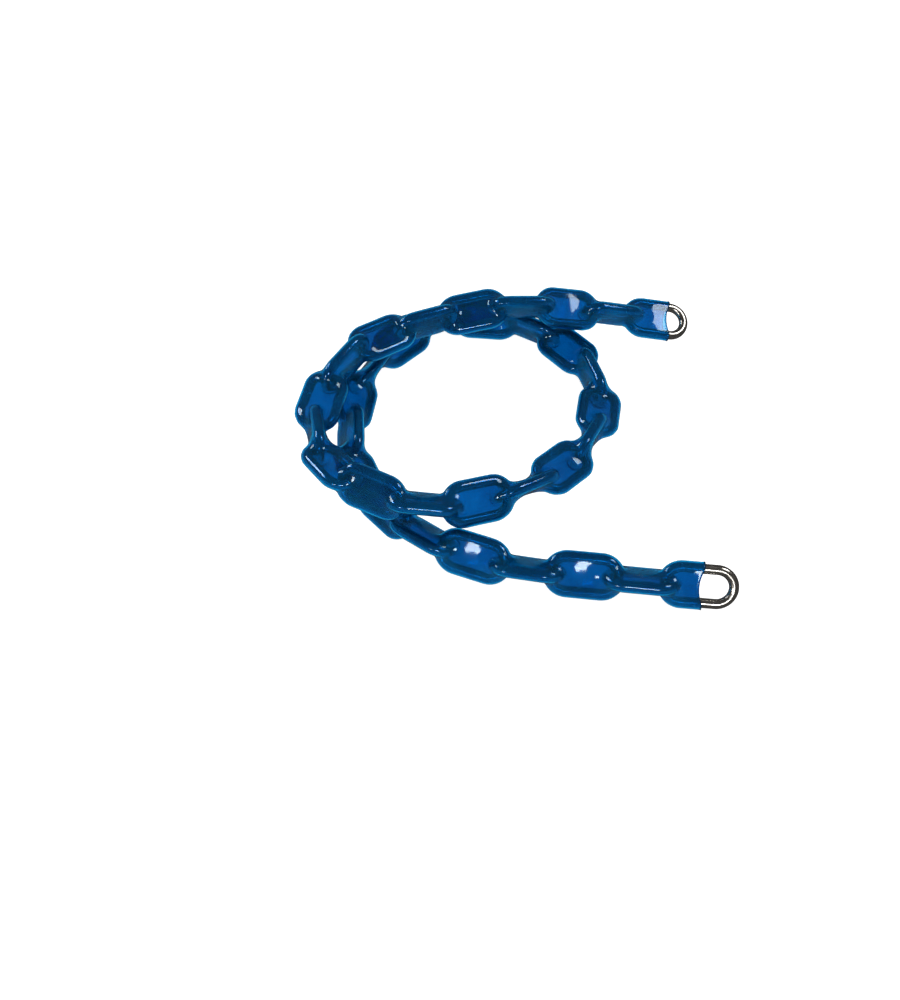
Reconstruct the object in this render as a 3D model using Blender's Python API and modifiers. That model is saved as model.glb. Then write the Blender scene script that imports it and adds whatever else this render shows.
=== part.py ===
"""A length of welded steel chain in a film sleeve, lying in a loop and a half on a level floor.

Thirty-five oval links hang in one another, each turned a quarter turn from the last. One thin
plastic sleeve is shrunk over all of them, and only the outer end of each end link is bare.
Metres, +Z up. The origin is under the middle of the chain, on the floor.
"""

import math

import bmesh
import bpy
import numpy as np

# Driving dimensions of a link: round wire bent to an oval and welded.
WIRE_DIAMETER = 0.006
LINK_LENGTH = 0.0465
LINK_WIDTH = 0.0265
LINK_COUNT = 35
CONTACT_GAP = 0.0010  # between the wires of two links where they bear on each other

# Driving dimensions of the sleeve.
FILM_THICKNESS = 0.0008
FILM_GAP = 0.0004  # between the film and the wires that it is shrunk on
BARE_LENGTH = 0.021  # what sticks out of the sleeve at the near end
FAR_BARE_LENGTH = 0.0145  # and at the far end, where the sleeve was cut longer

# The chain's middle line as it lies, from the near end to the far end, one point about every
# two links. Each row is x, y and the height above the floor.
ROUTE = (
    (0.1268, -0.1222, 0.0136),
    (0.0603, -0.1147, 0.0136),
    (-0.0102, -0.1032, 0.0136),
    (-0.0602, -0.0752, 0.0138),
    (-0.0962, -0.0232, 0.0144),
    (-0.0937, 0.0563, 0.0144),
    (-0.0492, 0.1113, 0.0140),
    (0.0048, 0.1168, 0.0137),
    (0.0513, 0.0788, 0.0148),
    (0.0638, 0.0258, 0.0151),
    (0.0323, -0.0407, 0.0258),
    (-0.0417, -0.0827, 0.0400),
    (-0.1042, -0.0567, 0.0420),
    (-0.1202, 0.0043, 0.0330),
    (-0.0947, 0.0533, 0.0435),
    (-0.0372, 0.0888, 0.0395),
    (0.0133, 0.0953, 0.0440),
    (0.0943, 0.1128, 0.0195),
    (0.1693, 0.1128, 0.0055),
)
CURVE_STEPS = 40  # short chords between two points of the route

# How far the odd links are turned about the chain's line, in degrees from lying flat, at some
# links. The even links are always a quarter turn on from that.
TURN_KEYS = (
    (1, -53),
    (2, -61),
    (3, -55),
    (6, -58),
    (8, -63),
    (10, -57),
    (12, -50),
    (14, -54),
    (16, -78),
    (18, -101),
    (20, -110),
    (22, -142),
    (23, -148),
    (26, -172),
    (28, -173),
    (30, -161),
    (32, -148),
    (34, -147),
    (35, -152),
)

# How finely the round shapes are cut.
CROWN_STEPS = 6  # chords in the half circle at each end of a covered link
END_CROWN_STEPS = 10  # the same on the two end links, which show
WIRE_RESOLUTION = 1  # six sides, under the film
END_WIRE_RESOLUTION = 2  # eight sides
FILM_SIDES = 16
JOINT_STATION = 0.0045  # the film's rings beside a joint lie this far from it
LINK_STATION = 0.0085  # and the others this far from a link's middle
SAMPLE_STEP = 0.0007  # how finely the wires are felt for the film
RING_WINDOW = 0.0012  # a ring clears all that lies this far before or behind it

WIRE_RADIUS = WIRE_DIAMETER / 2
CROWN_RADIUS = LINK_WIDTH / 2 - WIRE_RADIUS
STRAIGHT_HALF = (LINK_LENGTH - LINK_WIDTH) / 2
PITCH = LINK_LENGTH - 2 * WIRE_DIAMETER - CONTACT_GAP
FILM_REACH = WIRE_RADIUS + FILM_GAP + FILM_THICKNESS  # from a wire's middle to the film's outside


def clear_scene():
    for thing in list(bpy.data.objects):
        bpy.data.objects.remove(thing, do_unlink=True)


def unit(vector):
    return vector / np.linalg.norm(vector)


def smooth_curve(points, steps):
    """A Catmull-Rom curve through the points, as many short chords."""
    rows = np.array([2 * points[0] - points[1], *points, 2 * points[-1] - points[-2]])
    places = []
    for before, start, end, after in zip(rows, rows[1:], rows[2:], rows[3:]):
        for t in np.arange(steps) / steps:
            bend = 2 * before - 5 * start + 4 * end - after
            twist = 3 * start - before - 3 * end + after
            places.append(start + 0.5 * t * (end - before + t * (bend + t * twist)))
    return np.array([*places, points[-1]])


def joints_along(curve, pitch, count):
    """The points where each link meets the next: count links of one pitch each, as chords."""
    joints = [curve[0]]
    index = 1
    while len(joints) <= count:
        while np.linalg.norm(curve[index] - joints[-1]) < pitch:
            index += 1
        inner, outer = curve[index - 1], curve[index]
        near = np.linalg.norm(inner - joints[-1])
        far = np.linalg.norm(outer - joints[-1])
        joints.append(inner + (outer - inner) * (pitch - near) / (far - near))
    return np.array(joints)


def cross_directions(along, turn):
    """The two directions across the chain in which the odd and the even links are wide."""
    side = unit(np.cross((0, 0, 1), along))
    up = np.cross(along, side)
    odd = math.cos(turn) * side + math.sin(turn) * up
    return odd, np.cross(along, odd)


def link_line(centre, along, wide, crown_steps):
    """The middle line of a link's wire: two straights and two half circles."""
    points = []
    for end in (1, -1):
        for step in range(crown_steps + 1):
            angle = math.pi * (step / crown_steps - 0.5)
            out = STRAIGHT_HALF + CROWN_RADIUS * math.cos(angle)
            aside = CROWN_RADIUS * math.sin(angle)
            points.append(centre + end * (out * along + aside * wide))
    return points


def sampled(points):
    """The closed line through the points, cut into short steps."""
    steps = []
    for start, end in zip(points, [*points[1:], points[0]]):
        count = math.ceil(np.linalg.norm(end - start) / SAMPLE_STEP)
        steps.extend(start + (end - start) * k / count for k in range(count))
    return steps


def chain_frames(joints):
    """Each link's middle, its direction, and the odd and even links' wide directions there."""
    numbers, turns = np.array(TURN_KEYS, float).T
    frames = []
    for number, (start, end) in enumerate(zip(joints, joints[1:]), 1):
        along = unit(end - start)
        turn = math.radians(np.interp(number, numbers, turns))
        frames.append(((start + end) / 2, along, *cross_directions(along, turn)))
    return frames


def steel_material():
    steel = bpy.data.materials.new("zinc_plated_steel")
    steel.use_nodes = True
    shader = steel.node_tree.nodes["Principled BSDF"]
    shader.inputs["Base Color"].default_value = (0.62, 0.60, 0.57, 1)
    shader.inputs["Metallic"].default_value = 1.0
    shader.inputs["Roughness"].default_value = 0.25
    return steel


def film_material():
    film = bpy.data.materials.new("blue_film")
    film.use_nodes = True
    shader = film.node_tree.nodes["Principled BSDF"]
    shader.inputs["Base Color"].default_value = (0.0, 0.10, 0.40, 1)
    shader.inputs["Roughness"].default_value = 0.12
    shader.inputs["Transmission Weight"].default_value = 0.5
    return film


def add_link(number, points, resolution, material, collection):
    """One link: a closed wire along its middle line."""
    curve = bpy.data.curves.new(f"link_{number:02d}_wire", "CURVE")
    curve.dimensions = "3D"
    curve.bevel_depth = WIRE_RADIUS
    curve.bevel_resolution = resolution
    spline = curve.splines.new("POLY")
    spline.points.add(len(points) - 1)
    for place, point in zip(spline.points, points):
        place.co = (*point, 1)
    spline.use_cyclic_u = True
    link = bpy.data.objects.new(f"link_{number:02d}", curve)
    link.data.materials.append(material)
    collection.objects.link(link)
    return link


def station_frames(joints, frames):
    """Where the sleeve's rings lie: two on each link's straights, three round each joint."""
    stations = []
    for number in range(LINK_COUNT):
        middle, along, odd, _ = frames[number]
        for offset in (-LINK_STATION, LINK_STATION):
            stations.append((number, middle + offset * along, along, odd))
        if number + 1 == LINK_COUNT:
            break
        _, next_along, next_odd, _ = frames[number + 1]
        for share, offset in ((0.25, -JOINT_STATION), (0.5, 0), (0.75, JOINT_STATION)):
            turned = unit((1 - share) * along + share * next_along)
            line = along if offset < 0 else next_along
            wide = (1 - share) * odd + share * next_odd
            wide = unit(wide - wide.dot(turned) * turned)
            stations.append((number, joints[number + 1] + offset * line, turned, wide))
    return stations


def film_ring(place, along, odd, wires):
    """The sleeve's outline at one place: the polygon of tangents that clears every wire."""
    even = np.cross(along, odd)
    away = np.maximum(np.abs((wires - place) @ along) - RING_WINDOW, 0)
    reach_squared = FILM_REACH**2 - away**2
    close = reach_squared > 0
    near = wires[close] - place
    balls = np.sqrt(reach_squared[close])
    step = 2 * math.pi / FILM_SIDES
    angles = step * np.arange(FILM_SIDES)
    normals = np.outer(np.cos(angles), odd) + np.outer(np.sin(angles), even)
    supports = (near @ normals.T + balls[:, None]).max(axis=0)
    following = np.roll(supports, -1)
    ring = []
    for angle, here, there in zip(angles, supports, following):
        slide = (there - here * math.cos(step)) / math.sin(step)
        x = here * math.cos(angle) - slide * math.sin(angle)
        y = here * math.sin(angle) + slide * math.cos(angle)
        ring.append(place + x * odd + y * even)
    return ring


def trimmed(stations):
    """The rings with the first and last moved, so that each end link is bare as far as it should be."""
    kept = list(stations)
    for index, sign, bare_length in ((0, 1, BARE_LENGTH), (-1, -1, FAR_BARE_LENGTH)):
        number, place, along, odd = kept[index]
        covered = LINK_LENGTH / 2 - bare_length
        kept[index] = (number, place + sign * (LINK_STATION - covered) * along, along, odd)
    return kept


def add_sleeve(stations, wires, material, collection):
    """The sleeve: a loft through the rings, given its wall inwards."""
    mesh = bmesh.new()
    rings = []
    for number, place, along, odd in stations:
        beside = np.concatenate(wires[max(number - 1, 0) : number + 2])
        ring = film_ring(place, along, odd, beside)
        rings.append([mesh.verts.new(point) for point in ring])
    for ring, following in zip(rings, rings[1:]):
        for side in range(FILM_SIDES):
            other = (side + 1) % FILM_SIDES
            mesh.faces.new((ring[side], ring[other], following[other], following[side]))
    bmesh.ops.recalc_face_normals(mesh, faces=mesh.faces)
    data = bpy.data.meshes.new("sleeve")
    mesh.to_mesh(data)
    mesh.free()
    data.materials.append(material)
    sleeve = bpy.data.objects.new("sleeve", data)
    collection.objects.link(sleeve)
    wall = sleeve.modifiers.new("wall", "SOLIDIFY")
    wall.thickness = FILM_THICKNESS
    wall.offset = -1
    wall.use_even_offset = True
    return sleeve


def build_chain():
    collection = bpy.data.collections.new("coated_chain")
    bpy.context.scene.collection.children.link(collection)
    steel = steel_material()
    film = film_material()
    route = np.array(ROUTE)
    joints = joints_along(smooth_curve(route, CURVE_STEPS), PITCH, LINK_COUNT)
    frames = chain_frames(joints)
    lines = []
    for number, (middle, along, odd, even) in enumerate(frames, 1):
        at_end = number in (1, LINK_COUNT)
        steps = END_CROWN_STEPS if at_end else CROWN_STEPS
        resolution = END_WIRE_RESOLUTION if at_end else WIRE_RESOLUTION
        points = link_line(middle, along, odd if number % 2 else even, steps)
        add_link(number, points, resolution, steel, collection)
        lines.append(sampled(points))
    add_sleeve(trimmed(station_frames(joints, frames)), lines, film, collection)


clear_scene()
build_chain()
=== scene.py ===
# %% [markdown]
# # Sleeved steel chain
#
# The object is a length of welded steel chain inside one long plastic sleeve. Such a sleeve is
# pulled over the links as a loose tube and then heated, so that it shrinks until the wires hold
# it open. Only the outer end of each end link is bare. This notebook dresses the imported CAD
# model: every link gets a rounder wire, and the sleeve gets a tight, smooth skin.
#
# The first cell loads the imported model. Its nodes already lie where the chain lies, so nothing
# is placed by eye.

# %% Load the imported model
import math

import bmesh
import bpy
import numpy as np
from mathutils import Matrix, Vector


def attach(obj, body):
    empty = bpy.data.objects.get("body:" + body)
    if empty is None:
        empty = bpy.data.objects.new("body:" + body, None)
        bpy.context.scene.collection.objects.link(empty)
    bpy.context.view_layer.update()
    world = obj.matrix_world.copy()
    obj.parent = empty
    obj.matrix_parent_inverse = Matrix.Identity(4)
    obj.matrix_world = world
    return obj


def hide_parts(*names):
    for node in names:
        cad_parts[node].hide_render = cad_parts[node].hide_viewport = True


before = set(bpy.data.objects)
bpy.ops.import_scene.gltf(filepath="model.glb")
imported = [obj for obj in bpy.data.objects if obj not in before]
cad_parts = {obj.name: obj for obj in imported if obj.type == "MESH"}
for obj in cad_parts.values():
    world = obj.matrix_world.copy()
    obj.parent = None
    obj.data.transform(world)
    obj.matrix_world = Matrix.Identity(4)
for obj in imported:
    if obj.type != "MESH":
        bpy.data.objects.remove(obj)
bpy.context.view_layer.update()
scene = bpy.context.scene
link_names = sorted(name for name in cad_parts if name.startswith("link_"))
print(len(link_names), "links and one sleeve, CAD box in mm:")

# %% [markdown]
# ## The sizes of a link
#
# A link is round wire, bent to an oval with straight sides and welded. Three numbers fix it:
# the wire, the length and the width. The middle line of the wire is then a stadium: two
# straights joined by two half circles, here called crowns. Two more numbers say how much of
# each end link sticks out of the sleeve. All sizes are in metres.

# %% Sizes of the wire and the link
WIRE_RADIUS = 0.0030
LINK_LENGTH = 0.0465
LINK_WIDTH = 0.0265
CROWN_RADIUS = LINK_WIDTH / 2 - WIRE_RADIUS
STRAIGHT_HALF = (LINK_LENGTH - LINK_WIDTH) / 2
BARE_LENGTH = 0.0210
FAR_BARE_LENGTH = 0.0145  # the sleeve was cut longer at the far end
print("crown radius in mm", round(1000 * CROWN_RADIUS, 2))
print("half a straight in mm", round(1000 * STRAIGHT_HALF, 2))

# %% [markdown]
# ## Where each link lies
#
# The CAD node of a link says exactly where it is. A link is longest along the chain, wide
# across it, and thin the third way, so the three main directions of its points give its pose.
# A singular value decomposition of the points finds them, the longest first. Such a direction
# has no sign, so each link's one is turned to point to the next link.


# %% Read the pose of every link
def link_pose(node):
    """The middle of a link, its long direction and its wide direction."""
    count = len(node.data.vertices)
    points = np.zeros(count * 3)
    node.data.vertices.foreach_get("co", points)
    points = np.unique(points.reshape(-1, 3).round(7), axis=0)
    _, _, directions = np.linalg.svd(points - points.mean(axis=0), full_matrices=False)
    spans = points @ directions.T
    middle = (spans.max(axis=0) + spans.min(axis=0)) / 2 @ directions
    return middle, directions[0], directions[1]


poses = [link_pose(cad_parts[name]) for name in link_names]
LINK_COUNT = len(poses)
middles = np.array([pose[0] for pose in poses])
onwards = np.gradient(middles, axis=0)
longs = np.array([pose[1] for pose in poses])
longs *= np.sign((longs * onwards).sum(axis=1))[:, None]
wides = np.array([pose[2] for pose in poses])
for number in range(1, LINK_COUNT):
    # Links lie across one another, so a link's thin direction follows the last one's wide one.
    thin = np.cross(longs[number], wides[number])
    if thin @ wides[number - 1] < 0:
        wides[number] = -wides[number]
thins = np.cross(longs, wides)
print("the first link's middle in mm", (1000 * middles[0]).round(1))

# %% [markdown]
# The pitch is how much longer the chain gets with each link. The middles of two links lie half
# a pitch from the joint between them, each along its own direction, so the pitch follows from
# how far apart they are.

# %% Measure the pitch
apart = 2 * np.linalg.norm(np.diff(middles, axis=0), axis=1)
PITCH = float(np.mean(apart / np.linalg.norm(longs[1:] + longs[:-1], axis=1)))
print("pitch in mm", round(1000 * PITCH, 2))

# %% [markdown]
# ## The camera
#
# The photograph looks down at the chain from in front, at about 48 degrees. The camera stands
# 0.86 m from the middle of the picture, and its lens is about a normal one. A plain track-to
# rotation is enough, because the picture isn't tilted.

# %% Camera
VIEW_TARGET = Vector((-0.0351, -0.0419, 0.0011))
VIEW_ELEVATION = math.radians(47.96)
VIEW_DISTANCE = 0.8555
SENSOR_WIDTH = 36  # in mm, like the focal length
FOCAL_LENGTH = 48.98
camera_data = bpy.data.cameras.new("camera")
camera_data.sensor_width = SENSOR_WIDTH
camera_data.lens = FOCAL_LENGTH
camera = bpy.data.objects.new("camera", camera_data)
scene.collection.objects.link(camera)
away = Vector((0, -math.cos(VIEW_ELEVATION), math.sin(VIEW_ELEVATION)))
camera.location = VIEW_TARGET + VIEW_DISTANCE * away
camera.rotation_euler = away.to_track_quat("Z", "Y").to_euler()
scene.camera = camera
print("camera at", [round(value, 3) for value in camera.location])

# %% [markdown]
# ## One steel link
#
# A ring of edges is the section of the wire. Spin sweeps it round one crown, extrude pulls it
# along a straight, a second spin makes the other crown, and the last straight is closed by
# bridging the two open ends. Every step is an operator, as it would be in the editor. A curve
# with a bevel would be shorter to write, but the operators leave clean rings of four-sided
# faces, closed without a seam.


# %% Build a link round the origin
def link_mesh(sides, crown_steps):
    """A welded link in its own frame: x along it, y across it."""
    mesh = bmesh.new()
    ring = bmesh.ops.create_circle(mesh, segments=sides, radius=WIRE_RADIUS)["verts"]
    stand_up = Matrix.Rotation(math.pi / 2, 4, "Y")
    start = Matrix.Translation((STRAIGHT_HALF, CROWN_RADIUS, 0))
    bmesh.ops.transform(mesh, matrix=start @ stand_up, verts=ring)
    first_loop = list(mesh.edges)
    loop = list(mesh.edges)
    for side in (1, -1):
        swept = bmesh.ops.spin(
            mesh, geom=loop, cent=(side * STRAIGHT_HALF, 0, 0), axis=(0, 0, -1),
            angle=math.pi, steps=crown_steps, use_merge=False,
        )["geom_last"]
        loop = [item for item in swept if isinstance(item, bmesh.types.BMEdge)]
        if side == 1:
            pulled = bmesh.ops.extrude_edge_only(mesh, edges=loop)["geom"]
            moved = [item for item in pulled if isinstance(item, bmesh.types.BMVert)]
            bmesh.ops.translate(mesh, vec=(-2 * STRAIGHT_HALF, 0, 0), verts=moved)
            loop = [item for item in pulled if isinstance(item, bmesh.types.BMEdge)]
    bmesh.ops.bridge_loops(mesh, edges=loop + first_loop)
    bmesh.ops.recalc_face_normals(mesh, faces=mesh.faces)
    return mesh


print("a link is", round(1000 * LINK_LENGTH, 1), "by", round(1000 * LINK_WIDTH, 1), "mm")

# %% [markdown]
# Each link is turned and moved inside its mesh, so that its object stays at the origin. A
# pattern in object coordinates then can't slide when the object is exported.
#
# The two end links show, so they are cut more finely than the covered ones.

# %% Lay every link in its place
END_LINK_STEPS = 32  # sides round the wire, and as many steps in a crown
COVERED_LINK_STEPS = 16


def pose_matrix(number):
    """Takes a link from its own frame to where it lies."""
    x, y = Vector(longs[number]), Vector(wides[number])
    z = x.cross(y)
    turn = Matrix((x, y, z)).transposed().to_4x4()
    return Matrix.Translation(Vector(middles[number])) @ turn


def finished(mesh, name):
    """Turns a bmesh into a smooth-shaded object at the origin."""
    data = bpy.data.meshes.new(name)
    for face in mesh.faces:
        face.smooth = True
    mesh.to_mesh(data)
    mesh.free()
    piece = bpy.data.objects.new(name, data)
    scene.collection.objects.link(piece)
    return piece


steel_links = []
for number, node_name in enumerate(link_names):
    at_end = number in (0, LINK_COUNT - 1)
    steps = END_LINK_STEPS if at_end else COVERED_LINK_STEPS
    mesh = link_mesh(steps, steps)
    bmesh.ops.transform(mesh, matrix=pose_matrix(number), verts=mesh.verts)
    link = finished(mesh, "steel_" + node_name)
    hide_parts(node_name)
    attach(link, "root")
    steel_links.append(link)
print(len(steel_links), "links,", len(steel_links[0].data.polygons), "faces on an end link")

# %% [markdown]
# ## The tube before it shrinks
#
# The sleeve starts as a tube of rings, one about every 1.4 mm, that follows the links. Where
# two links meet, the chain bends, so the rings there lie between the directions of the two.
#
# A ring also needs a direction to start from, and the rings must agree on it. Links lie across
# one another, so it is the wide direction of one link and the thin direction of the next.

# %% Where the rings of the sleeve lie
RING_SPACING = 0.0014


def unit_rows(rows):
    return rows / np.linalg.norm(rows, axis=-1, keepdims=True)


firsts = np.array([(wides if number % 2 == 0 else thins)[number]
                   for number in range(LINK_COUNT)])
for number in range(1, LINK_COUNT):
    if firsts[number] @ firsts[number - 1] < 0:
        firsts[number] = -firsts[number]

near_cut = LINK_LENGTH / 2 - BARE_LENGTH
far_cut = LINK_LENGTH / 2 - FAR_BARE_LENGTH
sleeve_length = near_cut + (LINK_COUNT - 1) * PITCH + far_cut
ring_count = round(sleeve_length / RING_SPACING) + 1
places = np.linspace(-near_cut, sleeve_length - near_cut, ring_count) / PITCH
whole = np.clip(np.floor(places + 0.5).astype(int), 0, LINK_COUNT - 1)
rest = places - whole
beside = np.clip(whole + np.where(rest > 0, 1, -1), 0, LINK_COUNT - 1)
share = np.abs(rest)[:, None]
ring_middles = middles[whole] + rest[:, None] * PITCH * longs[whole]
ring_longs = unit_rows((1 - share) * longs[whole] + share * longs[beside])
ring_firsts = (1 - share) * firsts[whole] + share * firsts[beside]
ring_firsts -= (ring_firsts * ring_longs).sum(axis=1)[:, None] * ring_longs
ring_firsts = unit_rows(ring_firsts)
ring_seconds = np.cross(ring_longs, ring_firsts)
print(ring_count, "rings along", round(1000 * sleeve_length), "mm")

# %% [markdown]
# ## The wires as the film feels them
#
# The outline of a ring comes from the wires near it, so each link's middle line is first cut
# into many points. Round each point the film keeps a fixed reach: the wire's radius, 0.35 mm
# of air, and the film's own thickness.


# %% Cut the middle lines into points
WIRE_SPACING = 0.0006
FILM_REACH = 0.00415  # from the middle of a wire to the outside of the film


def stadium_points(number):
    """Points along the middle line of a link's wire."""
    steps = math.ceil(math.pi * CROWN_RADIUS / WIRE_SPACING)
    angles = np.linspace(-math.pi / 2, math.pi / 2, steps)
    crown = np.stack((STRAIGHT_HALF + CROWN_RADIUS * np.cos(angles),
                      CROWN_RADIUS * np.sin(angles)), axis=1)
    run = np.linspace(-STRAIGHT_HALF, STRAIGHT_HALF,
                      math.ceil(2 * STRAIGHT_HALF / WIRE_SPACING))
    side = np.stack((run, np.full_like(run, CROWN_RADIUS)), axis=1)
    flat = np.concatenate((crown, -crown, side, -side))
    return middles[number] + flat @ np.stack((longs[number], wides[number]))


wire_points = [stadium_points(number) for number in range(LINK_COUNT)]
print(len(wire_points[0]), "points on a link")

# %% [markdown]
# ## The tight outline of every ring
#
# A taut band round the wires is found by its tangents: for every direction round the ring, the
# furthest wire sets how far out the tangent lies, and tangents that follow each other cross in
# the outline's corners. A point that lies a little before or behind the ring still reaches it,
# but less far, as a ball does that is cut off its middle.


# %% Lay a taut outline on every ring
RING_DIRECTIONS = 96
RING_POINTS = 44
directions = 2 * math.pi * np.arange(RING_DIRECTIONS) / RING_DIRECTIONS


def tight_ring(index):
    """The points of one ring: a taut outline, shared out evenly along its length."""
    number = whole[index]
    near_wires = np.concatenate(wire_points[max(number - 1, 0): number + 2])
    offsets = near_wires - ring_middles[index]
    reach = FILM_REACH**2 - (offsets @ ring_longs[index])**2
    offsets, reach = offsets[reach > 0], np.sqrt(reach[reach > 0])
    flat = offsets @ np.stack((ring_firsts[index], ring_seconds[index]), axis=1)
    normals = np.stack((np.cos(directions), np.sin(directions)))
    supports = (flat @ normals + reach[:, None]).max(axis=0)
    ahead = np.roll(supports, -1)
    turn = directions[1]
    slide = (ahead - supports * math.cos(turn)) / math.sin(turn)
    corners = (normals * supports + np.stack((-normals[1], normals[0])) * slide).T
    # The outline starts where it crosses the ring's first direction, so that rings line up.
    bearing = np.arctan2(corners[:, 1], corners[:, 0]) % (2 * math.pi)
    corners = corners[np.argsort(bearing)]
    before, after = corners[-1], corners[0]
    crossing = before + (after - before) * (-before[1]) / (after[1] - before[1])
    outline = np.concatenate((crossing[None], corners, crossing[None]))
    lengths = np.r_[0, np.cumsum(np.linalg.norm(np.diff(outline, axis=0), axis=1))]
    wanted = lengths[-1] * np.arange(RING_POINTS) / RING_POINTS
    even = np.stack([np.interp(wanted, lengths, outline[:, axis]) for axis in (0, 1)], axis=1)
    across = np.stack((ring_firsts[index], ring_seconds[index]))
    return ring_middles[index] + even @ across


skin = np.array([tight_ring(index) for index in range(ring_count)])
first_outline = np.linalg.norm(np.roll(skin[0], -1, axis=0) - skin[0], axis=1).sum()
print("outline of the first ring in mm:", round(1000 * float(first_outline), 1))

# %% [markdown]
# ## Shrinking the sleeve
#
# Heat makes the film pull in both ways, round the chain and along it. Each point is drawn
# towards the middle of its four neighbours, which is what an even pull does, and then pushed
# out of any wire that it has entered. After a couple of hundred rounds the film lies tight over
# the wires and hangs between them in smooth saddles, with small hollows where a narrow link
# goes into a wide one. A cloth simulation is another way to get there. These few lines are
# easier to steer, and give the same shape each run.


# %% Shrink the film on the wires
SHRINK_ROUNDS = 220
PULL_ROUND = 0.62  # the share of the pull that goes round the chain
PULL_STEP = 0.6  # how much of the pull is taken in one round
TINY = 1e-9  # keeps a point on a wire's middle line from a division by zero


def pushed_out(points, numbers):
    """Moves points that lie in a wire, or too near to it, out to the film's reach."""
    for shift in (-1, 0, 1):
        links = np.clip(numbers + shift, 0, LINK_COUNT - 1)
        offsets = points - middles[links][:, None]
        x = np.einsum("rpc,rc->rp", offsets, longs[links])
        y = np.einsum("rpc,rc->rp", offsets, wides[links])
        z = np.einsum("rpc,rc->rp", offsets, thins[links])
        beyond = x - np.clip(x, -STRAIGHT_HALF, STRAIGHT_HALF)
        radius = np.hypot(beyond, y) + TINY
        gap = radius - CROWN_RADIUS
        distance = np.hypot(gap, z) + TINY
        move = np.maximum(FILM_REACH - distance, 0) / distance
        points = points + (
            (move * gap * beyond / radius)[..., None] * longs[links][:, None]
            + (move * gap * y / radius)[..., None] * wides[links][:, None]
            + (move * z)[..., None] * thins[links][:, None]
        )
    return points


for _ in range(SHRINK_ROUNDS):
    around = (np.roll(skin, 1, axis=1) + np.roll(skin, -1, axis=1)) / 2
    lengthwise = skin.copy()
    lengthwise[1:-1] = (skin[:-2] + skin[2:]) / 2
    target = PULL_ROUND * around + (1 - PULL_ROUND) * lengthwise
    skin[1:-1] = skin[1:-1] + PULL_STEP * (target[1:-1] - skin[1:-1])
    skin = pushed_out(skin, whole)
print("film after shrinking, box in mm", np.round(1000 * skin.min(axis=(0, 1)), 1),
      np.round(1000 * skin.max(axis=(0, 1)), 1))

# %% [markdown]
# ## The cut ends
#
# The sleeve is cut off across the chain, further out at the far end than at the near one. The
# wires hold its edge there, but between them the film draws back, so each end is hollow in the
# middle and turns out a little at the rim. The last few rings are slid along the chain to give
# that curve.

# %% Hollow and flare the two ends
CUT_HOLLOW = 0.0024  # how far the edge draws back between the wires
CUT_FLARE = 0.0003
CUT_RINGS = 6  # rings over which it fades out
for end, number, inwards in ((0, 0, 1), (-1, LINK_COUNT - 1, -1)):
    for step in range(CUT_RINGS):
        index = step if end == 0 else -1 - step
        across = (skin[index] - middles[number]) @ wides[number] / CROWN_RADIUS
        fade = 1 - step / CUT_RINGS
        slide = inwards * CUT_HOLLOW * fade * np.clip(1 - across**2, 0, 1)
        skin[index] += slide[:, None] * longs[number]
    rim = skin[end] - skin[end].mean(axis=0)
    skin[end] += CUT_FLARE * unit_rows(rim)
print("the edge draws back by", 1000 * CUT_HOLLOW, "mm")

# %% [markdown]
# ## The sleeve as a mesh
#
# A circle of edges is pulled out ring by ring with extrude, which makes all the faces, and
# each new ring is then set on the points that the shrinking found.

# %% Build the sleeve
mesh = bmesh.new()
ring = bmesh.ops.create_circle(mesh, segments=RING_POINTS, radius=CROWN_RADIUS)["verts"]
loop = list(mesh.edges)
rings = [ring]
for _ in range(ring_count - 1):
    pulled = bmesh.ops.extrude_edge_only(mesh, edges=loop)["geom"]
    loop = [item for item in pulled if isinstance(item, bmesh.types.BMEdge)]
    ring = [item for item in pulled if isinstance(item, bmesh.types.BMVert)]
    rings.append(ring)
for ring, points in zip(rings, skin):
    for vertex, point in zip(ring, points):
        vertex.co = point
bmesh.ops.recalc_face_normals(mesh, faces=mesh.faces)
mesh.verts.index_update()
print(len(mesh.verts), "points", len(mesh.faces), "faces")

# %% [markdown]
# The tube gets a UV map of its own, once round it one way and in metres along it the other, so
# that the marks which run along a real sleeve can follow this one round its bends. The points
# were made ring by ring, so a point's number says which ring it is on and where on the ring.
# The face that closes a ring needs care: its last corner is a full turn on, not back at zero.

# %% Lay the sleeve's own map on it
sleeve_map = mesh.loops.layers.uv.new("sleeve_map")
for face in mesh.faces:
    turns = [corner.vert.index % RING_POINTS for corner in face.loops]
    wraps = max(turns) - min(turns) > 1
    for corner, turn in zip(face.loops, turns):
        if wraps and turn == 0:
            turn = RING_POINTS
        along = corner.vert.index // RING_POINTS * RING_SPACING
        corner[sleeve_map].uv = (turn / RING_POINTS, along)
film = finished(mesh, "film_sleeve")
print("sleeve map", film.data.uv_layers[0].name)

# %% [markdown]
# Solidify gives the film its thickness last. It goes inwards, so the outside stays where the
# shrinking left it.

# %% Give the film its wall
FILM_THICKNESS = 0.0008
wall = film.modifiers.new("wall", "SOLIDIFY")
wall.thickness = FILM_THICKNESS
wall.offset = -1
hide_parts("sleeve")
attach(film, "root")
print("film wall in mm", 1000 * FILM_THICKNESS)

# %% [markdown]
# ## Helpers for the materials
#
# Each material is a Principled shader whose sockets are fed by a few noise textures in object
# coordinates, so the pattern keeps its real size. Small helpers keep the node code short: each
# adds one node with its settings and hands on its output. A noise seldom leaves the middle of
# its range, so ramp and spread stretch that middle over all their values.


# %% Node helpers
RAMP_SPAN = (0.35, 0.65)  # the part of a noise that a ramp of colours covers
SPREAD_SPAN = (0.3, 0.7)  # the part of a noise that a spread of values covers


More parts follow.
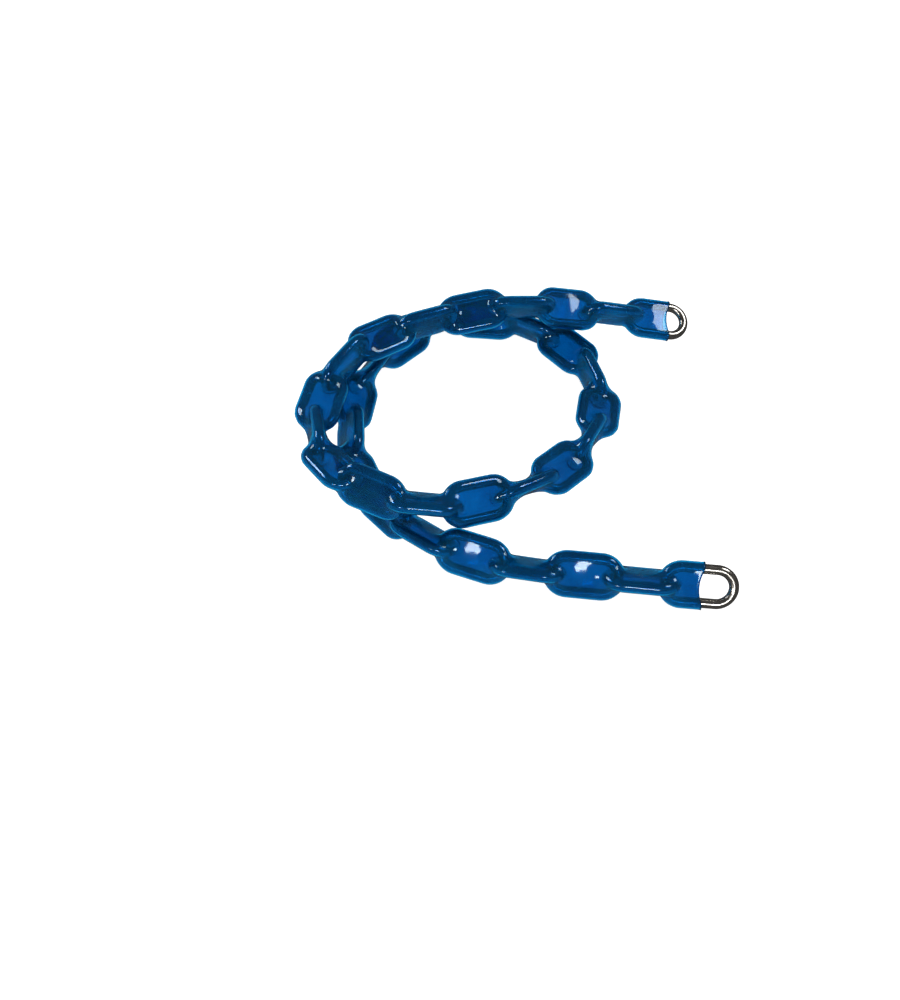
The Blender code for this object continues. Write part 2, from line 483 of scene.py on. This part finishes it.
class Finish:
    """A material with its Principled shader, and short calls to add nodes to it."""

    def __init__(self, name):
        self.material = bpy.data.materials.new(name)
        self.material.use_nodes = True
        self.nodes = self.material.node_tree.nodes
        self.shader = self.nodes["Principled BSDF"]
        self.place = self.add("ShaderNodeTexCoord").outputs["Object"]

    def add(self, kind, **settings):
        """Adds a node of this kind with these settings."""
        node = self.nodes.new(kind)
        for key, value in settings.items():
            setattr(node, key, value)
        return node

    def join(self, source, target):
        """Links one node's output to another one's input."""
        self.material.node_tree.links.new(source, target)

    def noise(self, scale, detail, place=None):
        """A noise with about this many cells to a metre, or to a unit of another place."""
        node = self.add("ShaderNodeTexNoise")
        node.inputs["Scale"].default_value = scale
        node.inputs["Detail"].default_value = detail
        self.join(place or self.place, node.inputs["Vector"])
        return node.outputs["Fac"]

    def ramp(self, value, low, high):
        """Turns a noise into colours between two."""
        node = self.add("ShaderNodeValToRGB")
        stops = zip(node.color_ramp.elements, RAMP_SPAN, (low, high))
        for element, position, colour in stops:
            element.position = position
            element.color = (*colour, 1)
        self.join(value, node.inputs["Fac"])
        return node.outputs["Color"]

    def spread(self, value, low, high):
        """Turns a noise into numbers between two."""
        node = self.add("ShaderNodeMapRange")
        node.inputs["From Min"].default_value = SPREAD_SPAN[0]
        node.inputs["From Max"].default_value = SPREAD_SPAN[1]
        node.inputs["To Min"].default_value = low
        node.inputs["To Max"].default_value = high
        self.join(value, node.inputs["Value"])
        return node.outputs["Result"]

    def bump(self, height, depth, after=None):
        """Raises the surface by depth, in metres, where the height is 1."""
        node = self.add("ShaderNodeBump")
        node.inputs["Strength"].default_value = 1
        node.inputs["Distance"].default_value = depth
        self.join(height, node.inputs["Height"])
        if after:
            self.join(after, node.inputs["Normal"])
        self.join(node.outputs["Normal"], self.shader.inputs["Normal"])
        return node.outputs["Normal"]

    def set(self, **values):
        """Sets the shader's own sockets, with _ for a space in their names."""
        for name, value in values.items():
            self.shader.inputs[name.replace("_", " ")].default_value = value


print("finish helpers ready")

# %% [markdown]
# ## The steel
#
# The links are steel wire with a thin, bright, warm grey coat, taken to be zinc. Such plating is
# smooth but never quite even: it has soft cloudy patches of slightly different tone and gloss,
# and its surface isn't perfectly level. The clouds are one noise on the colour and a finer one
# on the roughness, and the unevenness is a very shallow bump, which breaks up the edges of the
# reflections a little.

# %% Steel finish
STEEL_DARK = (0.56, 0.53, 0.48)
STEEL_LIGHT = (0.68, 0.65, 0.60)
PLATING_DEPTH = 0.000002
steel = Finish("zinc_plated_steel")
clouds = steel.noise(160, 4)
steel.join(steel.ramp(clouds, STEEL_DARK, STEEL_LIGHT), steel.shader.inputs["Base Color"])
steel.join(steel.spread(steel.noise(420, 5), 0.16, 0.28), steel.shader.inputs["Roughness"])
steel.bump(steel.noise(400, 1), PLATING_DEPTH)
steel.set(Metallic=1)
for link in steel_links:
    link.data.materials.append(steel.material)
print("steel on", len(steel_links), "links")

# %% [markdown]
# ## The blue film
#
# The sleeve is clear plastic dyed through with a strong blue, and very glossy. A Principled
# shader with nearly full transmission and about the index of plastic refracts the wires inside
# it, and the small share that isn't transmitted scatters light back, as the dye does. Its
# colour works once for each wall that the light goes through, so the webs between the wires
# show it twice over the pale floor, and the wires look darker still.
#
# Four things keep it from looking like glass. The dye is a little uneven, the gloss has faint
# smudges, the die that such a tube is drawn through leaves very fine lines along it, and the
# shrinking leaves a slight ripple. The lines follow the sleeve's own map, not the room.

# %% Film finish
DYE_DEEP = (0.0, 0.225, 0.49)
DYE_PALE = (0.0, 0.285, 0.57)
LINE_DEPTH = 0.0000012
RIPPLE_DEPTH = 0.000015
LINE_STRETCH = (90, 12, 1)  # noise cells round the sleeve, and to a metre along it
blue = Finish("blue_film")
dye = blue.ramp(blue.noise(60, 3), DYE_DEEP, DYE_PALE)
blue.join(dye, blue.shader.inputs["Base Color"])
blue.join(blue.spread(blue.noise(230, 4), 0.055, 0.10), blue.shader.inputs["Roughness"])
blue.set(IOR=1.45, Transmission_Weight=0.93)
own_map = blue.add("ShaderNodeUVMap", uv_map="sleeve_map")
stretch = blue.add("ShaderNodeMapping")
stretch.inputs["Scale"].default_value = LINE_STRETCH
blue.join(own_map.outputs["UV"], stretch.inputs["Vector"])
lines = blue.noise(1, 3, stretch.outputs["Vector"])
drawn = blue.bump(lines, LINE_DEPTH)
blue.bump(blue.noise(150, 1), RIPPLE_DEPTH, drawn)
film.data.materials.append(blue.material)
print("film finish reads", own_map.uv_map)

# %% [markdown]
# ## The floor
#
# The ground in the photograph is white, without a shadow or an edge. A wide plane with a faint
# paper grain stands in for it, and a glow of its own keeps shadows off it, as a light table
# would.
#
# Light that went through the film must find the ground bright, because the webs between the
# wires are seen against it. The plain reflections on the real chain, on bare steel or on the
# gloss of the film, are mostly dark, so what they show can't have been white all round. The
# Light Path node tells those two kinds of ray apart, and gives the reflections a dim ground.
# Only the stage is treated so: no material of the chain has this node.


# %% Tell plain reflections apart
def plain_mirror(tree):
    """1 for a ray that was only mirrored, and 0 for one that came through the film."""
    ray = tree.nodes.new("ShaderNodeLightPath")
    only = tree.nodes.new("ShaderNodeMath")
    only.operation = "SUBTRACT"
    only.use_clamp = True
    tree.links.new(ray.outputs["Is Glossy Ray"], only.inputs[0])
    tree.links.new(ray.outputs["Is Transmission Ray"], only.inputs[1])
    return only.outputs["Value"]


print("the stage can tell reflections apart")

# %% [markdown]
# The floor mixes two surfaces by that node: the glowing paper, and a plain dim glow for the
# reflections. It is wide enough that a low view doesn't see its edge.

# %% Floor
FLOOR_SIZE = 40
PAPER_DARK = (0.66, 0.66, 0.66)
PAPER_LIGHT = (0.70, 0.70, 0.70)
PAPER_GLOW = 0.9
DIM_SHEET = (0.06, 0.06, 0.06, 1)
bpy.ops.mesh.primitive_plane_add(size=FLOOR_SIZE)
floor = bpy.context.object
floor.name = "floor"
paper = Finish("pale_floor")
grain = paper.ramp(paper.noise(300, 3), PAPER_DARK, PAPER_LIGHT)
paper.join(grain, paper.shader.inputs["Base Color"])
paper.set(Roughness=0.9, Specular_IOR_Level=0.1)
paper.set(Emission_Color=(1, 1, 1, 1), Emission_Strength=PAPER_GLOW)
dim_sheet = paper.add("ShaderNodeEmission")
dim_sheet.inputs["Color"].default_value = DIM_SHEET
either = paper.add("ShaderNodeMixShader")
paper.join(plain_mirror(paper.material.node_tree), either.inputs["Fac"])
paper.join(paper.shader.outputs["BSDF"], either.inputs[1])
paper.join(dim_sheet.outputs["Emission"], either.inputs[2])
paper.join(either.outputs["Shader"], paper.nodes["Material Output"].inputs["Surface"])
floor.data.materials.append(paper.material)
print("floor", floor.dimensions.x, "m wide")

# %% [markdown]
# ## The lamps
#
# The bright spots and streaks on the film are the mirror images of lamps, so they hint at where
# the lamps were. Four soft rectangles stand in for them: one high on the right, two low ones in
# front, and one behind on the left. They were placed by trial, against the photograph. They are
# kept small, because larger ones laid a grey veil over the webs.

# %% Lamps
# A name, the bearing and the height in degrees, the distance in metres, the two sides of the
# rectangle in metres, and the power in watts. Bearing 0 is in front, and 90 is on the right.
LAMPS = (
    ("right", 98, 53, 1.5, (0.4, 0.42), 4.6),
    ("front", 2, 27, 1.6, (0.36, 0.18), 4),
    ("front_left", -34, 20, 1.6, (0.4, 0.14), 3),
    ("back_left", -115, 34, 1.6, (0.7, 0.3), 6),
)


def softbox(name, bearing, height, distance, size, power):
    """A rectangular lamp that looks at the chain."""
    lamp = bpy.data.lights.new(name, "AREA")
    lamp.shape = "RECTANGLE"
    lamp.size, lamp.size_y = size
    lamp.energy = power
    holder = bpy.data.objects.new(name, lamp)
    turn, rise = math.radians(bearing), math.radians(height)
    out = math.cos(rise)
    way = Vector((math.sin(turn) * out, -math.cos(turn) * out, math.sin(rise)))
    holder.location = distance * way
    holder.rotation_euler = way.to_track_quat("Z", "Y").to_euler()
    scene.collection.objects.link(holder)


for lamp_row in LAMPS:
    softbox(*lamp_row)
print(len(LAMPS), "lamps")

# %% [markdown]
# ## The room
#
# The world lights everything evenly, but is nearly black to plain reflections, as the floor is.
# To the camera's own rays it is white, so that a low view has no horizon.

# %% World
ROOM_LIGHT = 0.5
ROOM_IN_REFLECTIONS = 0.05
world = bpy.data.worlds.new("studio")
scene.world = world
world.use_nodes = True
room_tree = world.node_tree
room = room_tree.nodes["Background"]
room.inputs["Color"].default_value = (1, 1, 1, 1)
room_light = room_tree.nodes.new("ShaderNodeMapRange")
room_light.inputs["To Min"].default_value = ROOM_LIGHT
room_light.inputs["To Max"].default_value = ROOM_IN_REFLECTIONS
room_tree.links.new(plain_mirror(room_tree), room_light.inputs["Value"])
seen = room_tree.nodes.new("ShaderNodeLightPath")
backdrop = room_tree.nodes.new("ShaderNodeMath")
backdrop.operation = "MAXIMUM"
room_tree.links.new(seen.outputs["Is Camera Ray"], backdrop.inputs[0])
room_tree.links.new(room_light.outputs["Result"], backdrop.inputs[1])
room_tree.links.new(backdrop.outputs["Value"], room.inputs["Strength"])
scene.view_settings.view_transform = "Standard"
print("room light", ROOM_LIGHT, "and", ROOM_IN_REFLECTIONS, "in reflections")
